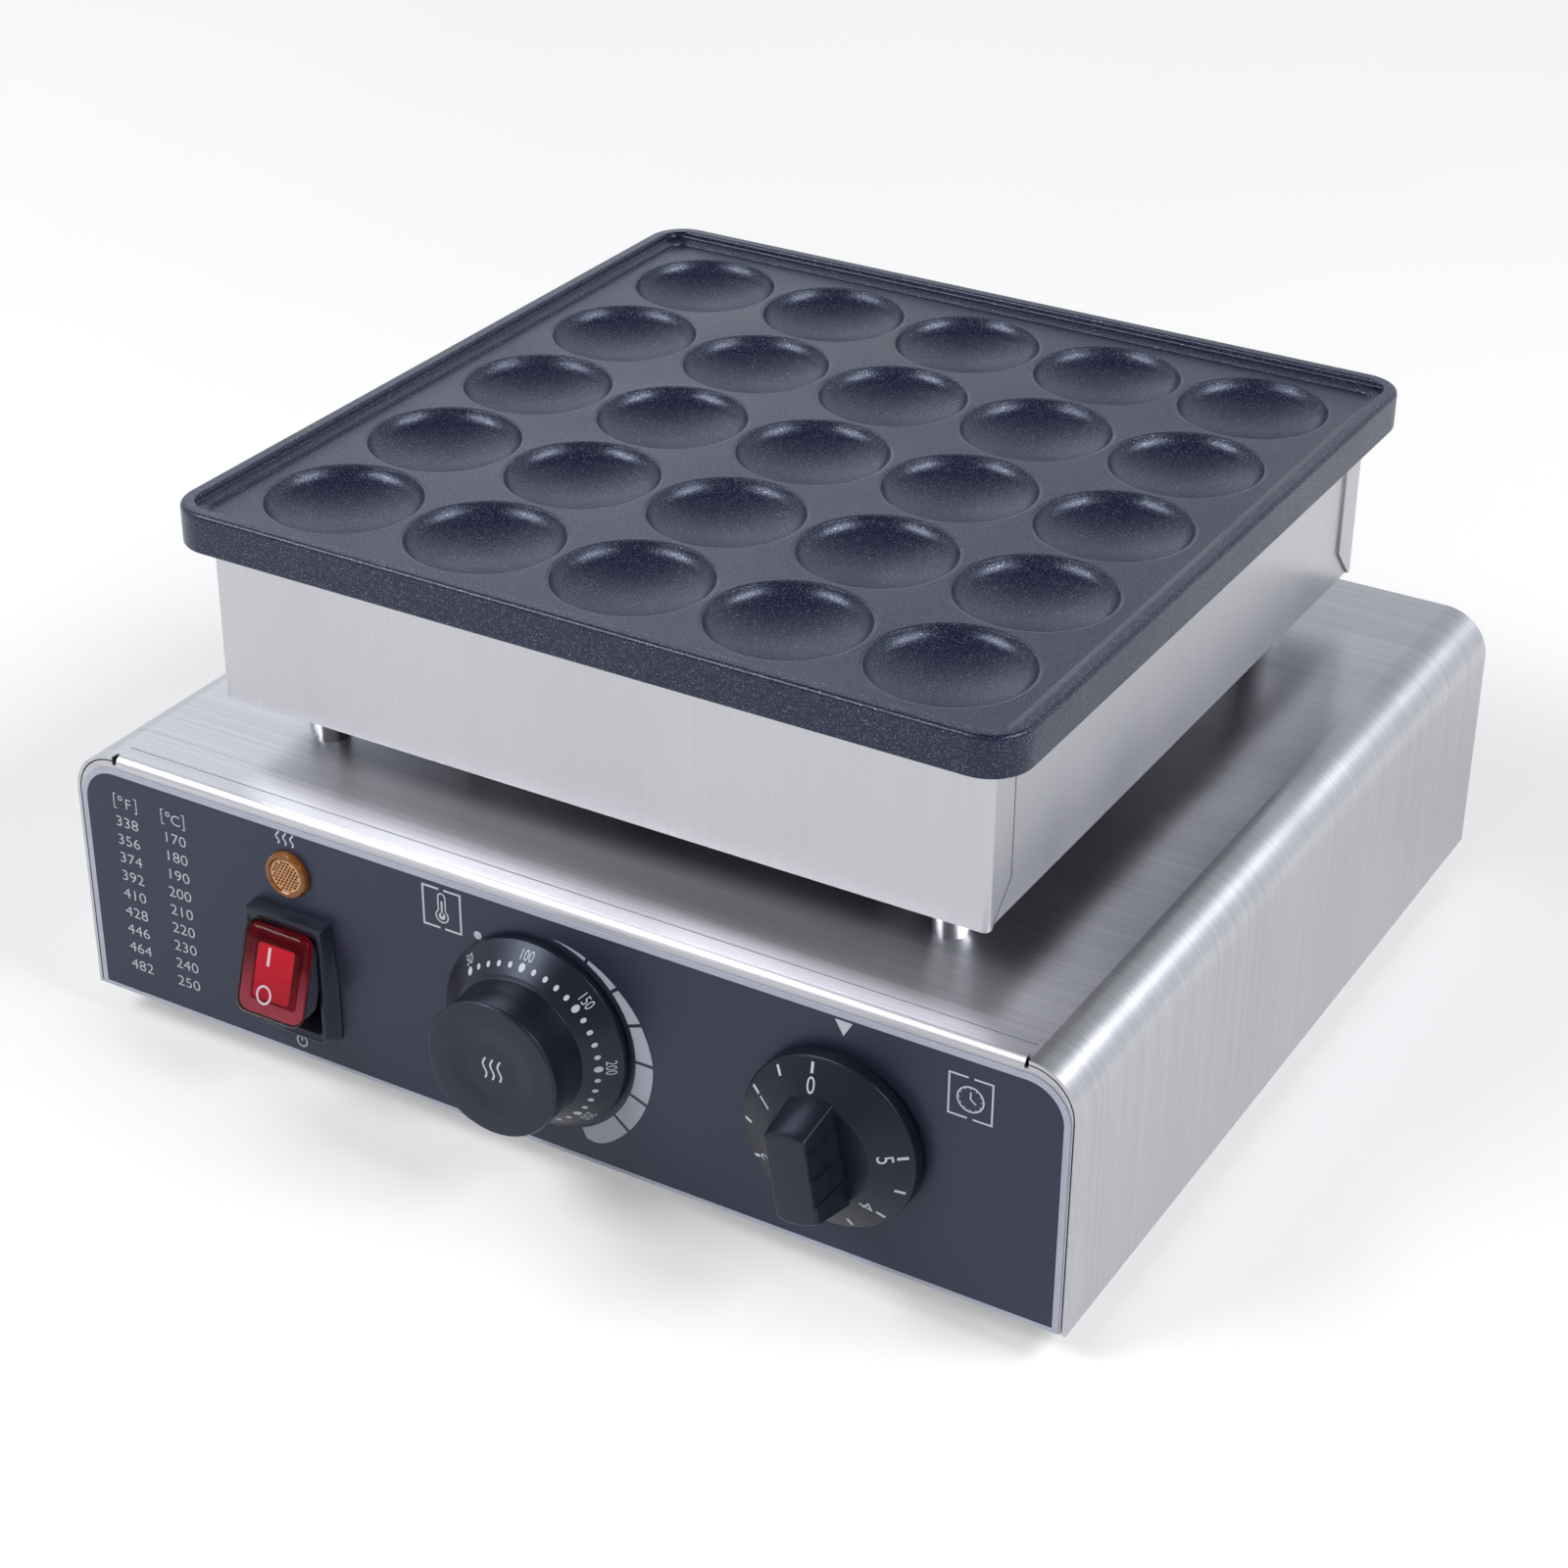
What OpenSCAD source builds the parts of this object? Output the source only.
// Mini pancake maker: a square cast plate with rows of shallow cups on a heated box,
// which four posts carry above a sheet metal base with the controls on its front.
// Millimetres, +Z up, front towards -Y. The origin is on the table under the middle of the outline.

/* [Plate] */
// Distance between neighbouring cups
cup_pitch = 46.4; // [44.5:0.1:56]
// Diameter of a cup at the flat top
cup_d = 43.4; // [38:0.1:45]
// Diameter where a cup's steep wall meets its round floor
cup_floor_d = 40.4; // [34:0.1:42]
// Depth of a cup
cup_depth = 7; // [5:0.1:8]
// Depth of a cup's steep wall
cup_wall = 2.5; // [1:0.1:3.5]
// Flat left between the outer cups and the plate's edge
cup_margin = 12.75; // [10:0.25:24]
// Thickness from the flat top to the plate's underside
plate_t = 8.3; // [7:0.1:14]
// Radius of the plate's corners
plate_r = 12; // [6:0.5:25]
// Height of the rim above the flat top
rim_h = 3.4; // [2:0.1:8]
// Width of the rim's top
rim_w = 4.4; // [3:0.1:6]
// Width of the ledge inside the rim
ledge_w = 3.4; // [1:0.1:4]
// Height of the ledge above the flat top
ledge_h = 1.1; // [0.4:0.1:1.8]
// Radius of the corners inside the rim
tray_r = 4; // [2:0.5:10]
// Thickness of the heated pad under the plate
pad_t = 2.7; // [2:0.1:6]
// Gap between the pad and the heater box
pad_gap = 4; // [2:0.5:10]

/* [Heater box] */
// How far the plate stands out over the heater box
overhang = 8.75; // [4:0.25:16]
// Height of the heater box
heater_h = 47.7; // [46:0.1:70]
// Thickness of the heater box's sheet metal
heater_t = 0.8; // [0.6:0.1:1.5]
// Outer radius of the heater box's folded corners
heater_fold = 1.8; // [1.6:0.1:4]
// Width of the tabs that the front and rear walls fold round the sides
tab_w = 12; // [8:0.5:20]
// Height of the slanted lower end of a tab
tab_slant = 10; // [4:0.5:16]
// Thickness of the insulation mat
mat_t = 14; // [12:0.5:18]
// Gap between the insulation mat and the heater box
mat_gap = 4; // [1:0.5:8]
// Thickness of the heat reflector
reflector_t = 0.6; // [0.4:0.1:1.2]

/* [Heating element] */
// Diameter of the element's tube
element_d = 8; // [6:0.5:10]
// Distance between the element's legs
element_pitch = 62; // [52:1:64]
// Length of the element's legs from the middle to a bend
element_reach = 64; // [50:1:66]
// Length of the outer legs from the middle to their cold ends
element_end = 90; // [86:1:92]
// Length of the insulators
insulator_l = 10; // [6:0.5:12]
// Diameter of the terminal pins
pin_d = 3; // [2:0.5:4]
// Length of a terminal pin beyond its insulator
pin_out = 6; // [4:0.5:8]
// Width of the clamp bars under the element
clamp_w = 16; // [14:0.5:24]
// Thickness of the clamp bars
clamp_t = 3; // [2:0.5:4]

/* [Sensor] */
// Diameter of the temperature bulb
bulb_d = 6; // [4:0.5:7]
// Length of the temperature bulb
bulb_l = 70; // [50:1:90]
// Diameter of the capillary tube
capillary_d = 1.6; // [1.2:0.1:2.4]
// Width of the clip that holds the bulb
clip_w = 10; // [6:0.5:16]
// Thickness of the clip's sheet metal
clip_t = 1; // [0.6:0.1:1.5]
// Distance between the clip's screws
clip_pitch = 20; // [18:0.5:28]

/* [Posts] */
// Height of the posts between the base and the heater box
post_h = 15.5; // [10:0.5:40]
// Diameter of a post under the heater box
post_d = 14; // [12:0.5:20]
// Diameter of a post on the base
post_foot_d = 11; // [9:0.5:14]
// Distance from the heater box's side to a post's axis
post_inset = 20; // [15:0.5:24]

/* [Base] */
// How far the base stands out past the heater box at each side
shelf_x = 37.5; // [34:0.5:70]
// How far the base stands out past the heater box at front and rear
shelf_y = 22.5; // [18:0.5:60]
// Height of the base
base_h = 78.5; // [76:0.5:110]
// Radius of the base's rounded top edges
base_r = 14; // [8:0.5:20]
// Thickness of the base's sheet metal
base_t = 1; // [0.8:0.1:1.5]
// Outer radius of the fold along the top of the front
fold_r = 2.5; // [2:0.1:4]
// Width of the relief notch at each end of that fold
relief_w = 1.2; // [0.8:0.1:3]
// Width of the open seams between folded sheets
seam = 0.4; // [0.3:0.05:0.8]
// Width of the base's flanges
flange_w = 14; // [10:0.5:18]
// Length of a vent slot
slot_l = 30; // [16:1:40]
// Width of a vent slot
slot_w = 4; // [2:0.5:5]
// Distance between vent slots
slot_pitch = 10; // [8:0.5:14]
// Distance of each group of vent slots from the middle
slot_x = 62; // [56:1:80]

/* [Feet] */
// Height of the feet under the base
foot_h = 10; // [6:0.5:25]
// Diameter of a foot at the base
foot_d = 22; // [18:0.5:30]
// Diameter of a foot on the table
foot_tip_d = 19; // [14:0.5:24]
// Distance from the base's edges to a foot's axis
foot_inset = 32; // [30:0.5:50]

/* [Front] */
// Thickness of the printed overlay on the front
overlay_t = 0.4; // [0.3:0.1:0.8]
// Margin between the overlay and the front's edges
overlay_margin = 0.5; // [0.3:0.1:3]
// Distance from the fold down to the overlay
overlay_drop = 1.2; // [0.5:0.1:4]

/* [Thermostat] */
// Sideways place of the thermostat's axis
dial_x = 0; // [-6:0.5:6]
// Height of the thermostat's axis above the base's lower edge
dial_z = 38; // [36:0.5:42]
// Diameter of the dial
dial_d = 56.6; // [54:0.2:60]
// Gap between the dial and the overlay
dial_gap = 0.5; // [0.4:0.1:2]
// Thickness of the dial at its edge
dial_t = 2.1; // [1.8:0.1:4]
// Height of the sloping skirt above the dial's edge
skirt_h = 6.7; // [4:0.1:8]
// Height of the grip's face above the overlay
grip_h = 22.6; // [18:0.1:30]
// Diameter of the grip at its face
grip_d = 40.2; // [38:0.2:42]
// Diameter of the grip at the skirt
grip_root_d = 42.6; // [41:0.2:46]
// Diameter of the grip at its waist
grip_waist_d = 39.4; // [37:0.2:40]
// Side of the thermostat's square body
dial_body_w = 36; // [34:0.5:44]
// Depth of the thermostat's body
dial_body_l = 26; // [22:0.5:36]

/* [Timer] */
// Sideways place of the timer's axis
timer_x = 90.5; // [84:0.5:100]
// Height of the timer's axis above the base's lower edge
timer_z = 38.5; // [36:0.5:42]
// Diameter of the timer knob's disc
timer_d = 50; // [46:0.5:56]
// Gap between the disc and the overlay
timer_gap = 1; // [0.4:0.1:3]
// Thickness of the disc
timer_t = 4; // [3:0.1:6]
// Diameter of the hub at the top of the disc's cone
hub_d = 29.4; // [26:0.2:34]
// Height of the cone from the disc's edge to the hub
cone_h = 5.1; // [3:0.1:7]
// Height of the handle's face above the overlay
handle_h = 23.8; // [18:0.1:30]
// Width of the handle at its face
handle_w = 12.2; // [9:0.2:16]
// How much wider the handle is at the disc, at each side
handle_flare = 0.7; // [0:0.1:2]
// Length of the handle over its round ends, at its face
handle_l = 26.6; // [22:0.2:28]
// Length of the handle over its round ends, at the disc's edge
handle_foot_l = 33.4; // [30:0.2:40]
// Distance between the grooves in the handle's sides
groove_pitch = 7.2; // [5:0.1:8]
// Width and depth of a groove
groove = 0.8; // [0.4:0.1:1.2]
// Turn of the knob's zero mark from upright at rest, in degrees
timer_tilt = 10.4; // [0:0.1:20]
// Side of the timer's square body
timer_body_w = 46; // [42:0.5:54]
// Depth of the timer's body
timer_body_l = 32; // [26:0.5:42]

/* [Power switch] */
// Sideways place of the switch
switch_x = -81.5; // [-90:0.5:-70]
// Height of the rocker's pivot above the base's lower edge
switch_z = 29; // [26:0.5:32]
// Width of the switch's frame
frame_w = 30; // [29:0.5:36]
// Height of the switch's frame
frame_h = 38.5; // [38:0.5:44]
// Thickness of the switch's frame
frame_t = 4.6; // [3:0.1:5]
// Width of the rocker's cap
rocker_w = 22.6; // [20:0.2:23]
// Length of the rocker's cap
rocker_l = 26.4; // [24:0.2:27]
// Thickness of the rocker's cap
rocker_t = 3; // [2:0.1:4]
// Height of the cap's face above the rocker's pivot
rocker_h = 14.6; // [13:0.1:15]
// Tilt of the rocker to each side of level, in degrees
rocker_tilt = 18; // [10:1:18]
// Depth of the switch's body behind the front
switch_l = 28; // [24:0.5:40]

/* [Lamp] */
// Sideways place of the lamp
lamp_x = -81.4; // [-90:0.1:-75]
// Height of the lamp's axis above the base's lower edge
lamp_z = 60.1; // [58:0.1:62]
// Diameter of the lamp's flange
lamp_d = 14; // [13.6:0.1:17]
// Diameter of the lamp's clear face
lamp_face_d = 13.5; // [11:0.1:13.5]
// Height of the lamp's face
lamp_h = 2; // [1.6:0.1:5]
// Length of the lamp's body behind the front
lamp_l = 20; // [14:0.5:26]

/* [Cord inlet] */
// Sideways place of the cable gland on the rear
gland_x = 112; // [105:1:125]
// Height of the cable gland above the base's lower edge
gland_z = 30; // [24:0.5:40]
// Bore of the cable gland
gland_bore_d = 8.4; // [6:0.1:10]
// Diameter of the cable gland's thread
gland_thread_d = 15; // [14:0.5:18]
// How far the cable gland stands out of the rear
gland_out = 14; // [10:0.5:24]

/* [Fasteners and wires] */
// Diameter of the plate's studs
stud_d = 6; // [4:0.5:8]
// Depth of the studs in the plate
stud_in = 6; // [4:0.5:7]
// Diameter of the post screws
post_screw_d = 5; // [4:0.5:6]
// Diameter of the control screws
control_screw_d = 4; // [3:0.5:5]
// Diameter of the panel screws
panel_screw_d = 4; // [3:0.5:5]
// Diameter of the control shafts
shaft_d = 6; // [5:0.5:7]
// Outer diameter of the wire conduit
conduit_d = 18; // [16:0.5:22]
// Wall of the wire conduit
conduit_wall = 2; // [1:0.1:3]
// Diameter of the sleeved heater leads
lead_d = 4; // [2.5:0.1:4.4]
// Diameter of the control wires
wire_d = 2.6; // [1.5:0.1:3]

/* [Fits] */
// Radial clearance of fasteners and fixed pieces in their holes
fit = 0.1; // [0.05:0.01:0.2]
// Radial clearance of turning shafts and pivots
run_fit = 0.05; // [0.02:0.01:0.1]
// Room between a round piece and what it bears on
touch = 0.1; // [0.05:0.01:0.3]
// Room between pieces that move past each other
clear = 0.5; // [0.3:0.05:0.7]

/* [Hidden] */
$fn = 96;
// How far a cutting shape passes through a face
lap = 1;
cups_per_side = 5;
element_legs = 4;
slots_per_group = 5;

// Sizes that follow from the driving ones
plate_w = (cups_per_side - 1) * cup_pitch + cup_d + 2 * cup_margin;
heater_w = plate_w - 2 * overhang;
base_w = heater_w + 2 * shelf_x;
base_d = heater_w + 2 * shelf_y;
pad_w = heater_w - 4 * heater_t - 2 * pad_gap;
mat_w = heater_w - 4 * heater_t - 2 * mat_gap;
post_at = heater_w / 2 - post_inset;
stud_at = 1.5 * cup_pitch;

// Levels above the table
base_z = foot_h;
floor_z = base_z + base_t;
top_z = base_z + base_h;
tray_z = top_z + post_h;
mat_z = tray_z + heater_t;
reflector_z = mat_z + mat_t;
plate_z = tray_z + heater_h;
flat_z = plate_z + plate_t;
pad_z = plate_z - pad_t;
element_z = pad_z - element_d / 2 - touch;
clamp_z = element_z - element_d / 2 - touch - clamp_t;

// Depth: the base's middle is set so that the whole outline is centred on Y
front_reach = overlay_t + max(grip_h, handle_h);
base_y = (front_reach - gland_out) / 2;
front_y = -base_d / 2;
rear_y = base_d / 2;

// The open width of the front's fold, and the outline of sheets inside the cover
fold_w = base_w - 2 * base_r;
inside_w = base_w - 2 * (base_t + seam);
inside_h = base_h - base_t - seam;
inside_r = base_r - base_t - seam;
inner_y = front_y + base_t;
overlay_r = inside_r - overlay_margin;

// The wire conduit stands behind the heating element's rear bend
conduit_y = post_at - 2;
conduit_r = conduit_d / 2 - conduit_wall;
conduit_flange_d = conduit_d + 8;
conduit_flange_t = 2;
conduit_low_z = top_z - base_t - 8;
conduit_high_z = reflector_z + reflector_t + 2;

// Nuts, heads and terminals
nut_ratio = 1.7;
nut_h_ratio = 0.8;
head_ratio = 1.8;
head_h_ratio = 0.45;
dial_screw_pitch = 28;
timer_screw_pitch = 30;
control_screw_in = 6;
control_head_h = 1.4;
bush_d = shaft_d + 4;
shaft_in = 18;
shaft_out = 12;
blade_w = 6.3;
blade_t = 0.8;
blade_l = 10;
blade_gap = 16;
switch_blade_x = 5;
switch_blade_z = 9;
pilot_screw_in = 8;
rear_screw_z = flange_w / 2 + 2;
lamp_stem_d = lamp_d - 5;
gland_nut_h = gland_thread_d / 3;

// Rocker switch
pivot_h = -2;
trunnion_d = 3;
trunnion_l = 1.4;
rocker_low = -5;
rocker_low_l = 14;
rocker_inset = 0.5;
cap_r = 3.5;
// Furthest that the tilted cap reaches along the front from the pivot
rocker_sweep = rocker_l / 2 * cos(rocker_tilt) + rocker_h * sin(rocker_tilt);
well_w = rocker_w + 2 * clear;
well_l = 2 * (rocker_sweep + clear);
pocket_floor = -10.5;
switch_wall = 1.4;
switch_w = well_w + 2 * switch_wall;
switch_h = well_l;
pocket_l = switch_h - 4 * switch_wall;

// Terminal block on the base's floor
block_x = 40;
block_y = 78;
block_w = 44;
block_d = 20;
block_h = 18;
block_ways = 4;
block_mid_z = floor_z + base_t + block_h / 2;
block_left = block_x - block_w / 2;
block_front = block_y - block_d / 2;
earth_x = 90;
earth_y = 60;

// Temperature bulb under the plate's middle, and its clip
bulb_y = -25;
bulb_z = pad_z - bulb_d / 2 - touch;
clip_screw_d = 3;
clip_screw_in = 4;

// Shared shapes

// Rectangle with round corners, centred on the origin
module rounded_rect(w, d, r) {
    square([w - 2 * r, d], center = true);
    square([w, d - 2 * r], center = true);
    for (sx = [-1, 1], sy = [-1, 1])
        translate([sx * (w / 2 - r), sy * (d / 2 - r)]) circle(r);
}

// Outline with square lower corners on y = 0 and round upper corners
module arch(w, h, r) {
    translate([-w / 2, 0]) square([w, h - r]);
    translate([r - w / 2, 0]) square([w - 2 * r, h]);
    for (side = [-1, 1])
        translate([side * (w / 2 - r), h - r]) circle(r);
}

// Slot with round ends along x
module slot(l, w) {
    square([l - w, w], center = true);
    for (side = [-1, 1])
        translate([side * (l - w) / 2, 0]) circle(w / 2);
}

// Children at the four corners of a square or a rectangle
module corners(x, y) {
    for (sx = [-1, 1], sy = [-1, 1])
        translate([sx * x, sy * y, 0]) children();
}

// Children mirrored to the left and the right
module both_sides(x) {
    for (side = [-1, 1])
        translate([side * x, 0, 0]) children();
}

// Hexagon nut that stands on z = 0
module nut(d) {
    difference() {
        cylinder(d = d * nut_ratio / cos(30), h = d * nut_h_ratio, $fn = 6);
        translate([0, 0, -lap]) cylinder(d = d + 2 * fit, h = d * nut_h_ratio + 2 * lap);
    }
}

// Pan head screw: the head stands above z = 0 and the shank goes down
module screw(d, l, head_h) {
    cylinder(d = d * head_ratio, h = head_h);
    translate([0, 0, -l]) cylinder(d = d, h = l);
}

// Clearance hole through z = 0
module hole(d, low, high) {
    translate([0, 0, low]) cylinder(d = d + 2 * fit, h = high - low);
}

// Flat terminal blade that stands on z = 0
module blade() {
    translate([-blade_w / 2, -blade_t / 2, 0]) cube([blade_w, blade_t, blade_l]);
}

// From the middle of the base to the part's frame
module placed() {
    translate([0, base_y, 0]) children();
}

// On the front: x to the right, y up, z out of the front's metal face
module on_front(x, z) {
    placed() translate([x, front_y, base_z + z]) rotate([90, 0, 0]) children();
}

// On the rear: x to the left as seen from behind, y up, z out of the rear
module on_rear(x, z) {
    placed() translate([x, rear_y, base_z + z]) rotate([90, 0, 180]) children();
}

// Wires: a tube swept along points that a smooth curve passes through, straight at both ends

function unit(v) = v / norm(v);
function wire_point(p, i) = p[min(max(i, 0), len(p) - 1)];
function curve_at(a, b, c, d, t) =
    (2 * b + (c - a) * t + (2 * a - 5 * b + 4 * c - d) * t * t + (3 * b - a - 3 * c + d) * t * t * t) / 2;
function smooth(p, steps) = [
    for (i = [0 : len(p) - 2], s = [0 : i == 0 || i == len(p) - 2 ? 0 : steps - 1])
        curve_at(wire_point(p, i - 1), p[i], p[i + 1], wire_point(p, i + 2), s / steps),
    p[len(p) - 1]
];
function heading(p, i) = unit(wire_point(p, i + 1) - wire_point(p, i - 1));
function side_start(t) = unit(cross(t, abs(t[2]) < 0.8 ? [0, 0, 1] : [1, 0, 0]));
function sides(p, i = 0, last = [0, 0, 0]) =
    i == len(p) ? [] :
    let (t = heading(p, i), n = i == 0 ? side_start(t) : unit(last - (last * t) * t))
    concat([n], sides(p, i + 1, n));

module wire(points, d, steps = 3, facets = 8) {
    p = smooth(points, steps);
    n = sides(p);
    rings = [
        for (i = [0 : len(p) - 1], k = [0 : facets - 1])
            let (t = heading(p, i), a = 360 * k / facets)
            p[i] + d / 2 * (cos(a) * n[i] + sin(a) * cross(t, n[i]))
    ];
    skin = [
        for (i = [0 : len(p) - 2], k = [0 : facets - 1])
            let (a = i * facets + k, b = i * facets + (k + 1) % facets)
            each [[a, a + facets, b], [b, a + facets, b + facets]]
    ];
    ends = [[for (k = [0 : facets - 1]) k], [for (k = [facets - 1 : -1 : 0]) (len(p) - 1) * facets + k]];
    polyhedron(rings, concat(skin, ends));
}

// Plate

// Space of one cup below z = 0: a steep wall that runs into a round floor
module cup() {
    floor_drop = cup_depth - cup_wall;
    ball_r = (pow(cup_floor_d / 2, 2) + pow(floor_drop, 2)) / (2 * floor_drop);
    slope = (cup_d - cup_floor_d) / cup_wall;
    intersection() {
        translate([0, 0, ball_r - cup_depth]) sphere(ball_r);
        translate([0, 0, -cup_depth])
            cylinder(d1 = cup_d - slope * cup_depth, d2 = cup_d + slope * lap, h = cup_depth + lap);
    }
}

module cup_grid() {
    middle = (cups_per_side - 1) / 2;
    for (i = [0 : cups_per_side - 1], j = [0 : cups_per_side - 1])
        translate([(i - middle) * cup_pitch, (j - middle) * cup_pitch, flat_z]) cup();
}

module baking_plate() color("#5a5d6a") placed() difference() {
    union() {
        translate([0, 0, plate_z])
            linear_extrude(plate_t + rim_h) rounded_rect(plate_w, plate_w, plate_r);
        translate([0, 0, pad_z]) linear_extrude(pad_t + lap) rounded_rect(pad_w, pad_w, tray_r);
    }
    translate([0, 0, flat_z + ledge_h]) linear_extrude(rim_h)
        rounded_rect(plate_w - 2 * rim_w, plate_w - 2 * rim_w, tray_r);
    translate([0, 0, flat_z]) linear_extrude(rim_h)
        rounded_rect(plate_w - 2 * (rim_w + ledge_w), plate_w - 2 * (rim_w + ledge_w), tray_r);
    cup_grid();
    corners(stud_at, stud_at) hole(stud_d, pad_z - lap, pad_z + stud_in);
    translate([0, bulb_y, 0]) both_sides(clip_pitch / 2)
        hole(clip_screw_d, pad_z - lap, pad_z + clip_screw_in);
}

// Heating element: straight legs joined by half turns, with two cold ends at the rear

module element_bend() {
    rotate_extrude(angle = 180) translate([element_pitch / 2, 0]) circle(element_d / 2);
}

module heating_element() color("#6d6a66") placed() translate([0, 0, element_z]) {
    for (leg = [0 : element_legs - 1]) {
        outer = leg == 0 || leg == element_legs - 1;
        translate([(leg - (element_legs - 1) / 2) * element_pitch, -element_reach, 0])
            rotate([-90, 0, 0])
                cylinder(d = element_d, h = element_reach + (outer ? element_end : element_reach));
    }
    translate([0, element_reach, 0]) element_bend();
    both_sides(element_pitch) translate([0, -element_reach, 0]) rotate([0, 0, 180]) element_bend();
}

// Children on the axes of the cold ends, with z to the rear
module at_cold_ends() {
    placed() both_sides(element_pitch * (element_legs - 1) / 2)
        translate([0, element_end, element_z]) rotate([-90, 0, 0]) children();
}

module element_insulators() color("#ece6da") at_cold_ends() difference() {
    cylinder(d = element_d, h = insulator_l);
    hole(pin_d, -lap, insulator_l + lap);
}

module element_pins() color("silver") at_cold_ends() cylinder(d = pin_d, h = insulator_l + pin_out);

module element_clamps() color("#a9abae") placed() for (side = [-1, 1])
    translate([0, side * stud_at, clamp_z]) difference() {
        bar_l = element_pitch * (element_legs - 1) + element_d + clamp_w;
        linear_extrude(clamp_t) rounded_rect(bar_l, clamp_w, tray_r);
        both_sides(stud_at) hole(stud_d, -lap, clamp_t + lap);
    }

module plate_studs() color("silver") placed() {
    low = tray_z - stud_d * nut_h_ratio - 1;
    corners(stud_at, stud_at) translate([0, 0, low]) cylinder(d = stud_d, h = pad_z + stud_in - low);
}

module stud_nuts() color("silver") placed() corners(stud_at, stud_at) {
    translate([0, 0, clamp_z - stud_d * nut_h_ratio]) nut(stud_d);
    translate([0, 0, tray_z - stud_d * nut_h_ratio]) nut(stud_d);
}

// Temperature sensor under the plate

module sensor_bulb() color("#b87a4b") placed() translate([0, bulb_y - bulb_l / 2, bulb_z])
    rotate([-90, 0, 0]) cylinder(d = bulb_d, h = bulb_l);

// Strap under the bulb with an ear at each side
module bulb_clip() color("#a9abae") placed() translate([0, bulb_y, 0]) {
    ear_w = clip_pitch + 8;
    bulb_room = bulb_d + 2 * touch;
    difference() {
        union() {
            translate([-ear_w / 2, -clip_w / 2, pad_z - clip_t]) cube([ear_w, clip_w, clip_t]);
            translate([0, -clip_w / 2, bulb_z]) rotate([-90, 0, 0])
                cylinder(d = bulb_room + 2 * clip_t, h = clip_w);
        }
        translate([0, -clip_w / 2 - lap, bulb_z]) rotate([-90, 0, 0])
            cylinder(d = bulb_room, h = clip_w + 2 * lap);
        translate([-bulb_room / 2, -clip_w / 2 - lap, bulb_z])
            cube([bulb_room, clip_w + 2 * lap, bulb_room]);
        translate([-ear_w / 2, -clip_w / 2 - lap, pad_z]) cube([ear_w, clip_w + 2 * lap, bulb_d]);
        both_sides(clip_pitch / 2) hole(clip_screw_d, pad_z - clip_t - lap, pad_z + lap);
    }
}

module bulb_clip_screws() color("silver") placed() translate([0, bulb_y, pad_z - clip_t])
    both_sides(clip_pitch / 2) mirror([0, 0, 1])
        screw(clip_screw_d, clip_t + clip_screw_in - touch, clip_screw_d * head_h_ratio);

module capillary_tube() color("#b87a4b") placed() {
    bulb_rear = bulb_y + bulb_l / 2;
    dial_rear = inner_y + dial_body_l;
    run_y = conduit_y + conduit_r - capillary_d;
    wire([
        [0, bulb_rear, bulb_z], [0, bulb_rear + 6, bulb_z], [0, bulb_rear + 40, reflector_z + 12],
        [0, run_y - 8, reflector_z + 10], [0, run_y, reflector_z], [0, run_y, tray_z], [0, run_y, top_z],
        [0, run_y, conduit_low_z - 4], [-8, run_y, top_z - 28], [-16, run_y - 14, top_z - 38],
        [-16, 50, top_z - 42], [-14, -20, top_z - 42], [dial_x - 4, dial_rear + 24, base_z + dial_z + 11],
        [dial_x - 4, dial_rear + 6, base_z + dial_z + 12], [dial_x - 4, dial_rear, base_z + dial_z + 12]
    ], capillary_d);
}

// Heater box

module heat_reflector() color("#c9cbce") placed() translate([0, 0, reflector_z]) difference() {
    linear_extrude(reflector_t) rounded_rect(mat_w - 2 * mat_gap, mat_w - 2 * mat_gap, tray_r);
    corners(stud_at, stud_at) hole(stud_d + clear, -lap, reflector_t + lap);
    translate([0, conduit_y, 0]) hole(conduit_d + clear, -lap, reflector_t + lap);
}

module insulation_mat() color("#e8e2d0") placed() translate([0, 0, mat_z]) difference() {
    linear_extrude(mat_t) rounded_rect(mat_w, mat_w, tray_r);
    corners(stud_at, stud_at) hole(stud_d + clear, -lap, mat_t + lap);
    corners(post_at, post_at) hole(post_screw_d * nut_ratio / cos(30) + clear, -lap, mat_t + lap);
    translate([0, conduit_y, 0]) hole(conduit_d + clear, -lap, mat_t + lap);
}

// Floor and the two side walls, inside the tabs of the front and rear walls
module heater_tray() color("#cfd0d3") placed() translate([0, 0, tray_z]) difference() {
    tray_w = heater_w - 2 * heater_t;
    wall_l = heater_w - 2 * heater_fold;
    union() {
        linear_extrude(heater_t) rounded_rect(tray_w, tray_w, heater_fold - heater_t);
        both_sides((tray_w - heater_t) / 2)
            translate([-heater_t / 2, -wall_l / 2, 0]) cube([heater_t, wall_l, heater_h]);
    }
    corners(stud_at, stud_at) hole(stud_d, -lap, heater_t + lap);
    corners(post_at, post_at) hole(post_screw_d, -lap, heater_t + lap);
    translate([0, conduit_y, 0]) hole(conduit_d, -lap, heater_t + lap);
}

// Front wall with its tabs; the rear wall is the same, turned round
module heater_wall() {
    difference() {
        translate([0, 0, tray_z]) linear_extrude(heater_h) intersection() {
            difference() {
                rounded_rect(heater_w, heater_w, heater_fold);
                rounded_rect(heater_w - 2 * heater_t, heater_w - 2 * heater_t, heater_fold - heater_t);
            }
            translate([-heater_w / 2, -heater_w / 2]) square([heater_w, tab_w]);
        }
        translate([0, tab_w - heater_w / 2, tray_z]) rotate([90, 0, 90])
            translate([0, 0, -heater_w / 2 - lap]) linear_extrude(heater_w + 2 * lap)
                polygon([[lap, -lap], [lap, tab_slant], [0, tab_slant], [heater_fold - tab_w, -lap]]);
    }
}

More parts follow.
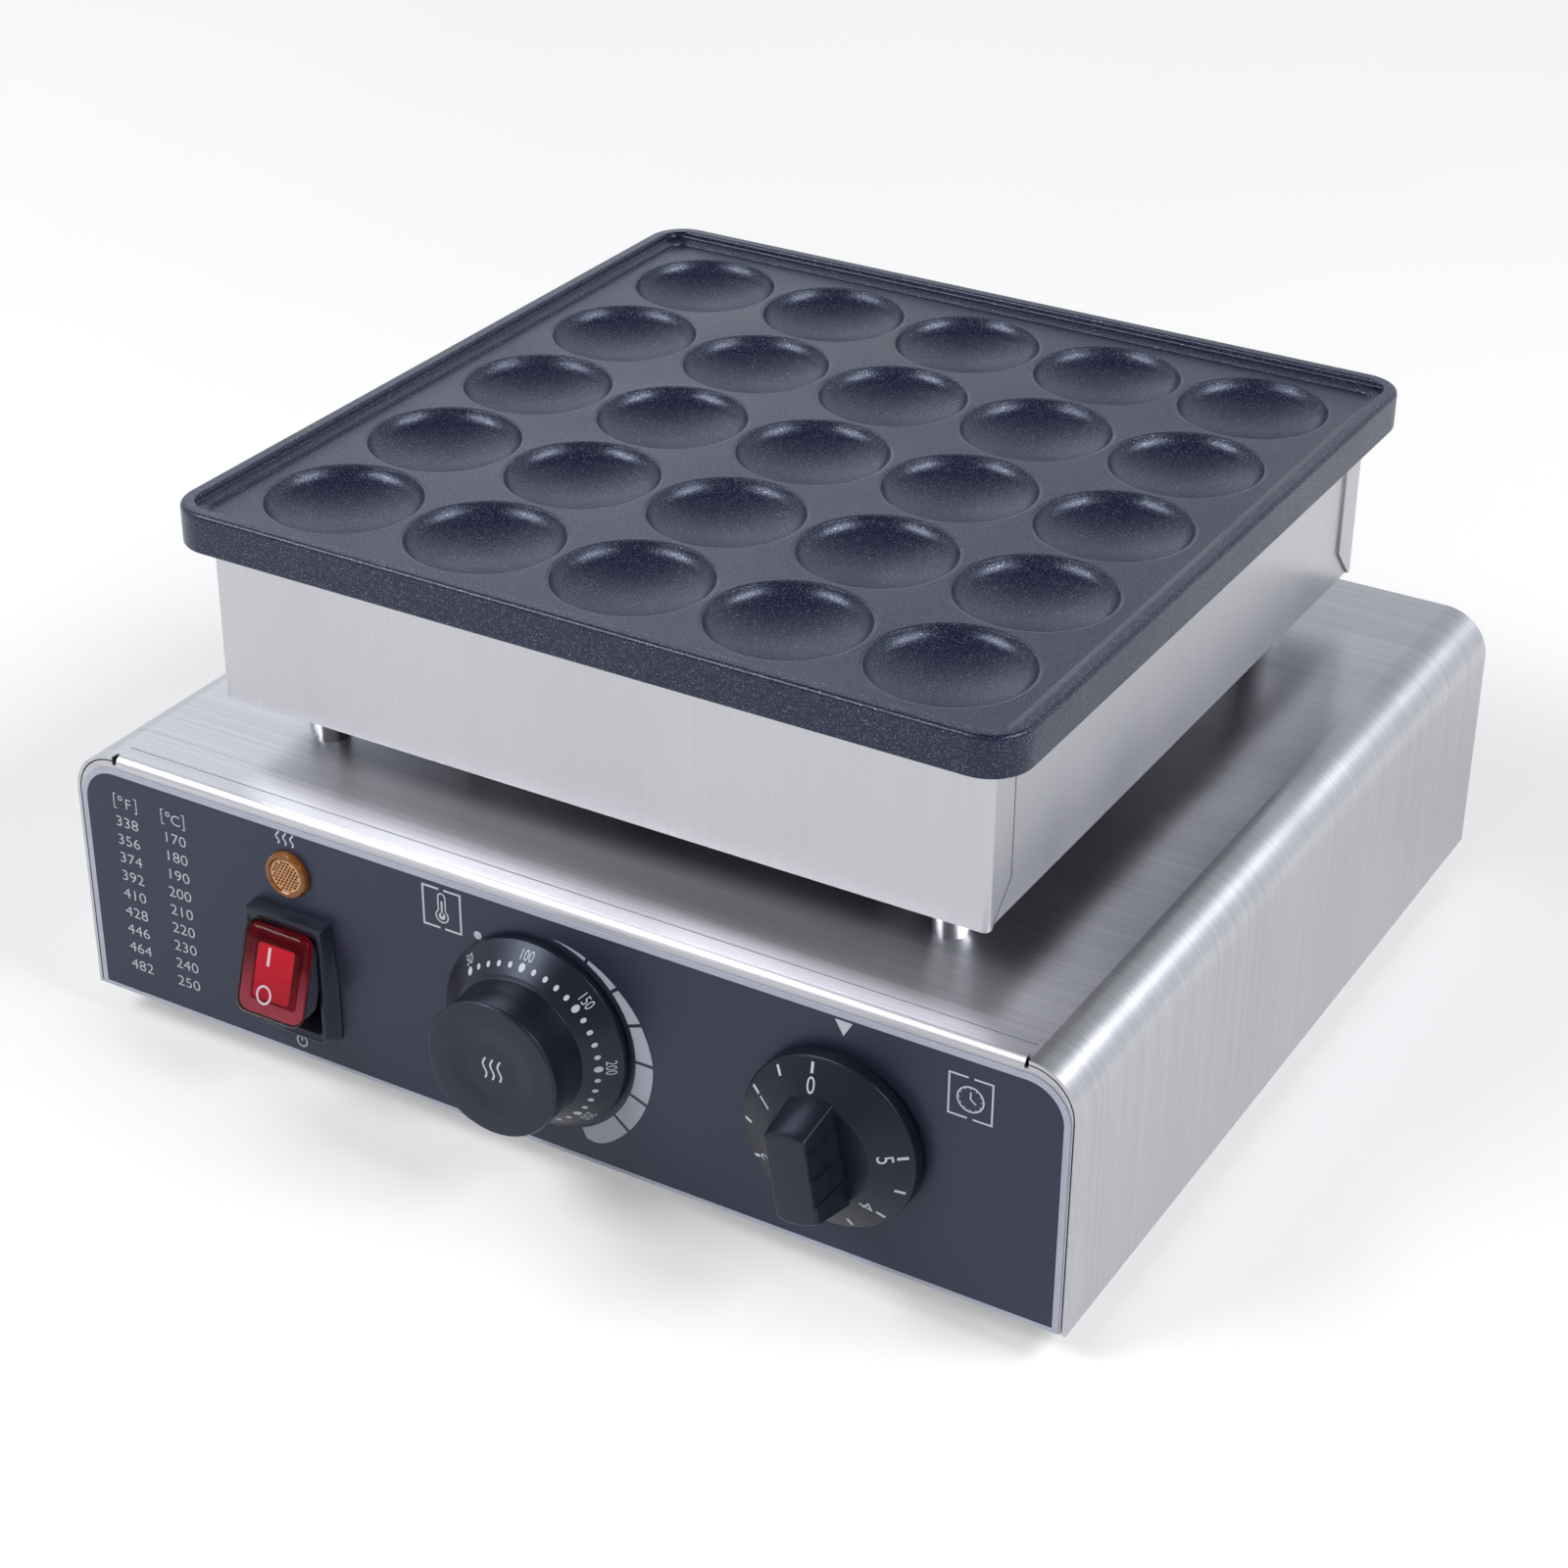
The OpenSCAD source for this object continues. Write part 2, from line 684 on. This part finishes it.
module heater_front() color("#d3d4d7") placed() heater_wall();

module heater_rear() color("#d3d4d7") placed() rotate([0, 0, 180]) heater_wall();

// Posts

module post(side_x, side_y) color("#c2c4c8") placed()
    translate([side_x * post_at, side_y * post_at, top_z]) difference() {
        cylinder(d1 = post_foot_d, d2 = post_d, h = post_h);
        hole(post_screw_d, -lap, post_h + lap);
    }

module post_front_left() { post(-1, -1); }
module post_front_right() { post(1, -1); }
module post_rear_left() { post(-1, 1); }
module post_rear_right() { post(1, 1); }

module post_screws() color("silver") placed() {
    reach = base_t + post_h + heater_t + post_screw_d * nut_h_ratio + 1;
    corners(post_at, post_at) translate([0, 0, top_z - base_t]) mirror([0, 0, 1])
        screw(post_screw_d, reach, post_screw_d * head_h_ratio);
}

module post_nuts() color("silver") placed() translate([0, 0, mat_z])
    corners(post_at, post_at) nut(post_screw_d);

// Tube for the wires, with a flange on the base's top
module wire_conduit() color("#3a3a3c") placed() translate([0, conduit_y, 0]) difference() {
    union() {
        translate([0, 0, conduit_low_z]) cylinder(d = conduit_d, h = conduit_high_z - conduit_low_z);
        translate([0, 0, top_z]) cylinder(d = conduit_flange_d, h = conduit_flange_t);
    }
    translate([0, 0, conduit_low_z - lap])
        cylinder(r = conduit_r, h = conduit_high_z - conduit_low_z + 2 * lap);
}

// Base

// Openings of the controls in a sheet of the front, from z = low to z = high
module control_openings(low, high) {
    translate([dial_x, base_z + dial_z]) {
        hole(bush_d, low, high);
        both_sides(dial_screw_pitch / 2) hole(control_screw_d, low, high);
    }
    translate([timer_x, base_z + timer_z]) {
        hole(bush_d, low, high);
        both_sides(timer_screw_pitch / 2) hole(control_screw_d, low, high);
    }
    translate([lamp_x, base_z + lamp_z]) hole(lamp_stem_d, low, high);
    translate([switch_x, base_z + switch_z, low]) linear_extrude(high - low)
        square([switch_w + 2 * fit, switch_h + 2 * fit], center = true);
}

// Top and sides of one sheet, with a flange along each lower edge
module cover_wrap() {
    difference() {
        translate([0, rear_y, base_z]) rotate([90, 0, 0]) linear_extrude(base_d) difference() {
            arch(base_w, base_h, base_r);
            translate([0, -lap]) arch(base_w - 2 * base_t, base_h - base_t + lap, base_r - base_t);
        }
        translate([-fold_w / 2, front_y - lap, top_z - fold_r]) cube([fold_w, fold_r + lap, fold_r + lap]);
    }
    both_sides((base_w - flange_w) / 2 - base_t / 2)
        translate([-flange_w / 2 - base_t / 2, inner_y + seam, base_z])
            cube([flange_w + base_t, base_d - 2 * (base_t + seam), base_t]);
}

// Front of the same sheet, folded down from the top, with a flange along its lower edge
module cover_front() {
    front_flange_w = inside_w - 2 * flange_w - 2 * seam;
    translate([0, inner_y, base_z]) rotate([90, 0, 0]) linear_extrude(base_t) difference() {
        arch(inside_w, inside_h, inside_r);
        translate([-fold_w / 2, base_h - fold_r]) square([fold_w, fold_r]);
    }
    translate([relief_w - fold_w / 2, front_y + fold_r, top_z - fold_r]) rotate([90, 0, 90])
        linear_extrude(fold_w - 2 * relief_w) {
            intersection() {
                difference() {
                    circle(fold_r);
                    circle(fold_r - base_t);
                }
                translate([-fold_r, 0]) square(fold_r);
            }
            // Short ends that lap into the front and the top
            translate([-fold_r, -lap]) square([base_t, lap]);
            translate([0, fold_r - base_t]) square([lap, base_t]);
        }
    translate([-front_flange_w / 2, front_y, base_z]) cube([front_flange_w, flange_w + base_t, base_t]);
}

module base_cover() color("#d6d7da") placed() difference() {
    union() {
        cover_wrap();
        cover_front();
    }
    translate([0, front_y, 0]) rotate([90, 0, 0]) control_openings(-base_t - lap, lap);
    corners(post_at, post_at) hole(post_screw_d, top_z - base_t - lap, top_z + lap);
    translate([0, conduit_y, 0]) hole(conduit_d, top_z - base_t - lap, top_z + lap);
    floor_screw_places() hole(panel_screw_d, -base_t - lap, lap);
}

module control_overlay() color("#3c3e48") placed()
    translate([0, front_y, 0]) rotate([90, 0, 0]) difference() {
        translate([0, base_z + overlay_margin]) linear_extrude(overlay_t)
            arch(inside_w - 2 * overlay_margin, base_h - fold_r - overlay_drop - overlay_margin, overlay_r);
        control_openings(-lap, overlay_t + lap);
    }

// Groups of vent slots, drawn around the origin
module vent_slots(rows) {
    both_sides(slot_x) for (row = [0 : rows - 1])
        translate([0, (row - (rows - 1) / 2) * slot_pitch]) slot(slot_l, slot_w);
}

module rear_panel() color("#d0d1d4") difference() {
    union() {
        on_rear(0, 0) translate([0, 0, -base_t]) linear_extrude(base_t) difference() {
            arch(inside_w, inside_h, inside_r);
            translate([0, base_h / 2]) vent_slots(slots_per_group);
        }
        placed() translate([-fold_w / 2, rear_y - flange_w, top_z - 2 * base_t])
            cube([fold_w, flange_w, base_t]);
    }
    on_rear(gland_x, gland_z) hole(gland_thread_d, -base_t - lap, lap);
    rear_screw_places() hole(panel_screw_d, -base_t - lap, lap);
}

// Floor with a flange that stands up inside the rear panel
module base_plate() color("#c4c5c8") placed() {
    floor_w = base_w - 2 * (base_t + seam);
    floor_d = base_d - 2 * (base_t + seam);
    rear_flange_w = floor_w - 2 * base_r;
    difference() {
        union() {
            translate([-floor_w / 2, -floor_d / 2, floor_z]) cube([floor_w, floor_d, base_t]);
            translate([-rear_flange_w / 2, rear_y - 2 * base_t, floor_z])
                cube([rear_flange_w, base_t, flange_w]);
        }
        translate([0, 0, floor_z - lap]) linear_extrude(base_t + 2 * lap) vent_slots(slots_per_group + 2);
        corners(base_w / 2 - foot_inset, base_d / 2 - foot_inset)
            hole(panel_screw_d, floor_z - lap, floor_z + base_t + lap);
        floor_screw_places() hole(panel_screw_d, 0, 2 * base_t + lap);
        translate([0, -base_y, 0]) rear_screw_places() hole(panel_screw_d, -2 * base_t - lap, lap - base_t);
        translate([earth_x, earth_y, 0]) hole(panel_screw_d, floor_z - lap, floor_z + base_t + lap);
    }
}

// Children at the screws through the side flanges, with z = 0 on the base's lower edge
module floor_screw_places() {
    translate([0, 0, base_z])
        for (row = [-1, 0, 1])
            translate([0, row * (base_d / 2 - foot_inset), 0])
                both_sides(base_w / 2 - base_t - flange_w / 2) children();
}

// Children at the screws of the rear panel
module rear_screw_places() {
    on_rear(0, rear_screw_z) for (row = [-1.5, -0.5, 0.5, 1.5])
        translate([row * (base_w - 2 * foot_inset) / 3, 0, 0]) children();
}

module base_plate_screws() color("silver") placed() floor_screw_places() mirror([0, 0, 1])
    screw(panel_screw_d, pilot_screw_in, panel_screw_d * head_h_ratio);

module rear_panel_screws() color("silver") rear_screw_places()
    screw(panel_screw_d, pilot_screw_in, panel_screw_d * head_h_ratio);

// Feet

module foot(side_x, side_y) color("#26262a") placed()
    translate([side_x * (base_w / 2 - foot_inset), side_y * (base_d / 2 - foot_inset), 0]) difference() {
        cylinder(d1 = foot_tip_d, d2 = foot_d, h = floor_z);
        translate([0, 0, -lap]) cylinder(d = panel_screw_d * head_ratio + 2 * clear, h = floor_z / 2 + lap);
        hole(panel_screw_d, 0, floor_z + lap);
    }

module foot_front_left() { foot(-1, -1); }
module foot_front_right() { foot(1, -1); }
module foot_rear_left() { foot(-1, 1); }
module foot_rear_right() { foot(1, 1); }

module foot_screws() color("silver") placed() {
    reach = floor_z / 2 + base_t + panel_screw_d * nut_h_ratio + 1;
    translate([0, 0, floor_z / 2])
        corners(base_w / 2 - foot_inset, base_d / 2 - foot_inset) mirror([0, 0, 1])
            screw(panel_screw_d, reach, panel_screw_d * head_h_ratio);
}

module foot_nuts() color("silver") placed() translate([0, 0, floor_z + base_t])
    corners(base_w / 2 - foot_inset, base_d / 2 - foot_inset) nut(panel_screw_d);

// Thermostat and timer: bodies behind the front, shafts and knobs before it

// Square body with a bush in the front's opening and a bore for the shaft
module control_body(w, l, screw_pitch) {
    difference() {
        union() {
            translate([-w / 2, -w / 2, -base_t - l]) cube([w, w, l]);
            translate([0, 0, -base_t - lap]) cylinder(d = bush_d, h = base_t + lap);
        }
        translate([0, 0, -shaft_in]) cylinder(d = shaft_d + 2 * run_fit, h = shaft_in + lap);
        both_sides(screw_pitch / 2) hole(control_screw_d, -base_t - control_screw_in - fit, lap);
    }
}

module control_terminals(l) {
    both_sides(blade_gap / 2) translate([0, 0, -base_t - l]) mirror([0, 0, 1]) blade();
}

module control_screws(screw_pitch) {
    both_sides(screw_pitch / 2) translate([0, 0, overlay_t])
        screw(control_screw_d, overlay_t + base_t + control_screw_in, control_head_h);
}

// Shaft with its end just off the bore's floor
module control_shaft() {
    translate([0, 0, clear - shaft_in]) cylinder(d = shaft_d, h = shaft_in + overlay_t + shaft_out - clear);
}

// Socket for the shaft and room for the screw heads behind a knob
module knob_hollow(screw_pitch) {
    d = screw_pitch + control_screw_d * head_ratio + 2 * clear;
    high = overlay_t + control_head_h + clear;
    translate([0, 0, -lap]) cylinder(d = shaft_d + 2 * fit, h = overlay_t + shaft_out + fit + lap);
    difference() {
        translate([0, 0, -lap]) cylinder(d = d, h = high + lap);
        translate([0, 0, -2 * lap]) cylinder(d = bush_d, h = high + 4 * lap);
    }
}

module thermostat_body() color("#d9d4c4") on_front(dial_x, dial_z)
    control_body(dial_body_w, dial_body_l, dial_screw_pitch);

module thermostat_terminals() color("#c9b27a") on_front(dial_x, dial_z) control_terminals(dial_body_l);

module thermostat_screws() color("silver") on_front(dial_x, dial_z) control_screws(dial_screw_pitch);

module thermostat_shaft() color("silver") on_front(dial_x, dial_z) control_shaft();

// Dial with a sloping skirt and a round grip that is waisted and has a shallow dish in its face
module thermostat_knob() color("#2b2c30") on_front(dial_x, dial_z) {
    low = overlay_t + dial_gap;
    edge = low + dial_t;
    face = overlay_t + grip_h;
    edge_round = 1.4;
    dish_d = grip_d * 0.7;
    dish_h = 0.7;
    difference() {
        rotate_extrude() polygon([
            [0, low], [dial_d / 2, low], [dial_d / 2, edge], [grip_root_d / 2, edge + skirt_h],
            [grip_waist_d / 2, (edge + skirt_h + face) / 2], [grip_d / 2, face - 2 * edge_round],
            [grip_d / 2, face - edge_round], [grip_d / 2 - edge_round / 3, face - edge_round / 3],
            [grip_d / 2 - edge_round, face], [dish_d / 2, face], [0, face - dish_h]
        ]);
        knob_hollow(dial_screw_pitch);
    }
}

module timer_body() color("#c8c9c4") on_front(timer_x, timer_z)
    control_body(timer_body_w, timer_body_l, timer_screw_pitch);

module timer_terminals() color("#c9b27a") on_front(timer_x, timer_z) control_terminals(timer_body_l);

module timer_screws() color("silver") on_front(timer_x, timer_z) control_screws(timer_screw_pitch);

module timer_shaft() color("silver") on_front(timer_x, timer_z) control_shaft();

// Conical disc with a bar handle that has round ends and grip grooves along both sides
module timer_knob() color("#2b2c30") on_front(timer_x, timer_z) rotate([0, 0, timer_tilt]) {
    low = overlay_t + timer_gap;
    edge = low + timer_t;
    face = overlay_t + handle_h;
    foot_w = handle_w + 2 * handle_flare;
    difference() {
        union() {
            rotate_extrude() polygon([
                [0, low], [timer_d / 2, low], [timer_d / 2, edge], [hub_d / 2, edge + cone_h], [0, edge + cone_h]
            ]);
            intersection() {
                translate([0, 0, edge])
                    cylinder(d1 = handle_foot_l, d2 = handle_l, h = face - edge);
                translate([0, handle_foot_l, 0]) rotate([90, 0, 0]) linear_extrude(2 * handle_foot_l)
                    polygon([
                        [-foot_w / 2, edge], [foot_w / 2, edge], [handle_w / 2, face], [-handle_w / 2, face]
                    ]);
            }
        }
        knob_hollow(timer_screw_pitch);
        both_sides(handle_w / 2) for (row = [-1, 0, 1])
            translate([0, row * groove_pitch, (edge + cone_h + face) / 2])
                cube([2 * groove, groove, face - edge - cone_h + 2 * lap], center = true);
    }
}

// Power switch: the rocker turns on two trunnions in the body's side walls

// Children with x to the right and z out of the front, around the pivot
module at_pivot() {
    on_front(switch_x, switch_z) translate([0, 0, pivot_h]) children();
}

// Children turned with the rocker as it rests, with the upper end pressed in
module with_rocker() {
    at_pivot() rotate([-rocker_tilt, 0, 0]) children();
}

module switch_frame() color("#1f2024") on_front(switch_x, switch_z)
    translate([0, 0, overlay_t]) linear_extrude(frame_t) difference() {
        rounded_rect(frame_w, frame_h, cap_r);
        rounded_rect(well_w, well_l, cap_r / 2);
    }

module switch_body() color("#1f2024") on_front(switch_x, switch_z) difference() {
    translate([-switch_w / 2, -switch_h / 2, -switch_l]) cube([switch_w, switch_h, switch_l + overlay_t]);
    translate([-well_w / 2, -pocket_l / 2, pocket_floor])
        cube([well_w, pocket_l, overlay_t - pocket_floor + lap]);
    translate([-switch_w / 2 + switch_wall / 4, 0, pivot_h]) rotate([0, 90, 0])
        cylinder(d = trunnion_d + 2 * run_fit, h = switch_w - switch_wall / 2);
}

module switch_terminals() color("#c9b27a") on_front(switch_x, switch_z)
    corners(switch_blade_x, switch_blade_z) translate([0, 0, -switch_l]) mirror([0, 0, 1]) blade();

module rocker_carrier() color("#1f2024") with_rocker() {
    carrier_w = rocker_w - 2 * rocker_inset;
    high = rocker_h - rocker_t;
    half_high = rocker_l / 2 - rocker_inset;
    half_low = rocker_low_l / 2;
    rotate([90, 0, 90]) translate([0, 0, -carrier_w / 2]) linear_extrude(carrier_w)
        polygon([[-half_low, rocker_low], [half_low, rocker_low], [half_high, high], [-half_high, high]]);
    rotate([0, 90, 0]) translate([0, 0, -well_w / 2 - trunnion_l / 2])
        cylinder(d = trunnion_d, h = well_w + trunnion_l);
}

module rocker_cap() color("#c01420") with_rocker() translate([0, 0, rocker_h - rocker_t])
    linear_extrude(rocker_t) rounded_rect(rocker_w, rocker_l, cap_r);

// Lamp

module lamp_lens() color("#e58a1f") on_front(lamp_x, lamp_z) translate([0, 0, overlay_t])
    rotate_extrude() polygon([
        [0, 0], [lamp_d / 2, 0], [lamp_d / 2, lamp_h / 3], [lamp_face_d / 2, lamp_h], [0, lamp_h]
    ]);

module lamp_body() color("#e9e4d6") on_front(lamp_x, lamp_z) translate([0, 0, -lamp_l])
    cylinder(d = lamp_stem_d, h = lamp_l + overlay_t);

module lamp_nut() color("#a9abae") on_front(lamp_x, lamp_z) translate([0, 0, -base_t - clip_t])
    difference() {
        cylinder(d = lamp_d + clip_t, h = clip_t);
        hole(lamp_stem_d, -lap, clip_t + lap);
    }

// Cord inlet

module cable_gland() color("#26262a") on_rear(gland_x, gland_z) difference() {
    collar_h = gland_out * 0.4;
    inner_l = base_t + gland_nut_h + 2;
    union() {
        translate([0, 0, -inner_l]) cylinder(d = gland_thread_d, h = inner_l + lap);
        cylinder(d = gland_thread_d * 1.5, h = collar_h, $fn = 6);
        translate([0, 0, collar_h - lap])
            cylinder(d1 = gland_thread_d * 1.3, d2 = gland_thread_d, h = gland_out - collar_h + lap);
    }
    translate([0, 0, -inner_l - lap]) cylinder(d = gland_bore_d, h = inner_l + gland_out + 2 * lap);
}

module gland_nut() color("#26262a") on_rear(gland_x, gland_z) translate([0, 0, -base_t - gland_nut_h])
    difference() {
        cylinder(d = gland_thread_d * 1.6, h = gland_nut_h, $fn = 6);
        hole(gland_thread_d, -lap, gland_nut_h + lap);
    }

// Connections in the base

module earth_stud() color("#c9b27a") placed() translate([earth_x, earth_y, floor_z]) mirror([0, 0, 1])
    screw(panel_screw_d, base_t + 4 * panel_screw_d, panel_screw_d * head_h_ratio);

module terminal_block() color("#e9e4d6") placed()
    translate([block_x, block_y, floor_z + base_t]) difference() {
        translate([-block_w / 2, -block_d / 2, 0]) cube([block_w, block_d, block_h]);
        for (way = [0 : block_ways - 1])
            translate([(way - (block_ways - 1) / 2) * block_w / block_ways, 0, block_h / 2])
                cylinder(d = wire_d + lead_d / 2, h = block_h);
    }

module heater_leads() color("#dcd8cc") placed() for (side = [-1, 1]) {
    pin_x = side * element_pitch * (element_legs - 1) / 2;
    pin_y = element_end + insulator_l + pin_out;
    run_x = side * (lead_d / 2 + clear);
    end_y = block_y - side * block_d / 4;
    wire([
        [pin_x, pin_y, element_z], [pin_x, pin_y + 2, element_z], [pin_x, pin_y + 4, element_z - 6],
        [pin_x * 0.9, pin_y + 2, element_z - 14], [pin_x / 2, conduit_y + 9, reflector_z + 9],
        [side * 16, conduit_y + 2, reflector_z + 11], [side * 5, conduit_y, conduit_high_z + 5],
        [run_x, conduit_y, conduit_high_z - 6], [run_x, conduit_y, tray_z], [run_x, conduit_y, top_z],
        [run_x, conduit_y, conduit_low_z - 6], [run_x + 3, conduit_y - 6 - 4 * side, base_z + 34],
        [block_left - 8, end_y, block_mid_z], [block_left, end_y, block_mid_z]
    ], lead_d);
}

module switch_leads() color("#7a3b2e") placed() for (side = [-1, 1]) {
    end_x = block_x - block_w / 4 + side * block_w / block_ways / 2;
    blade_x = switch_x + side * switch_blade_x;
    blade_y = front_y + switch_l + blade_l;
    blade_z = base_z + switch_z - switch_blade_z;
    wire([
        [end_x, block_front, block_mid_z], [end_x, block_front - 6, block_mid_z],
        [side * 4, 10, block_mid_z - 4], [blade_x + 20, blade_y + 40, block_mid_z - 4],
        [blade_x, blade_y + 6, blade_z], [blade_x, blade_y, blade_z]
    ], wire_d);
}

module control_leads() color("#33507a") placed() {
    dial_blade = [dial_x + blade_gap / 2, inner_y + dial_body_l + blade_l, base_z + dial_z];
    timer_blade = [timer_x - blade_gap / 2, inner_y + timer_body_l + blade_l, base_z + timer_z];
    other_blade = timer_blade + [blade_gap, 0, 0];
    block_end = [block_x + block_w / 3, block_front, block_mid_z];
    straight = [0, 6, 0];
    // Thermostat to timer
    wire([
        dial_blade, dial_blade + straight, (dial_blade + timer_blade) / 2 + [0, 18, -6],
        timer_blade + straight, timer_blade
    ], wire_d);
    // Timer to terminal block
    wire([
        other_blade, other_blade + straight, [timer_x, 0, block_mid_z], block_end - straight, block_end
    ], wire_d);
    // Lamp to the switch's upper blades
    for (side = [-1, 1]) {
        lamp_end = [lamp_x + side * lamp_stem_d / 4, front_y + lamp_l, base_z + lamp_z];
        blade_end = [
            switch_x + side * switch_blade_x, front_y + switch_l + blade_l, base_z + switch_z + switch_blade_z
        ];
        wire([
            lamp_end, lamp_end + straight, blade_end + [0, 12, 12], blade_end + straight, blade_end
        ], wire_d / 2);
    }
}

baking_plate();
heating_element();
element_insulators();
element_pins();
element_clamps();
plate_studs();
stud_nuts();
sensor_bulb();
bulb_clip();
bulb_clip_screws();
capillary_tube();
heat_reflector();
insulation_mat();
heater_tray();
heater_front();
heater_rear();
post_front_left();
post_front_right();
post_rear_left();
post_rear_right();
post_screws();
post_nuts();
wire_conduit();
base_cover();
control_overlay();
rear_panel();
base_plate();
base_plate_screws();
rear_panel_screws();
foot_front_left();
foot_front_right();
foot_rear_left();
foot_rear_right();
foot_screws();
foot_nuts();
thermostat_body();
thermostat_terminals();
thermostat_screws();
thermostat_shaft();
thermostat_knob();
timer_body();
timer_terminals();
timer_screws();
timer_shaft();
timer_knob();
switch_frame();
switch_body();
switch_terminals();
rocker_carrier();
rocker_cap();
lamp_lens();
lamp_body();
lamp_nut();
cable_gland();
gland_nut();
earth_stud();
terminal_block();
heater_leads();
switch_leads();
control_leads();
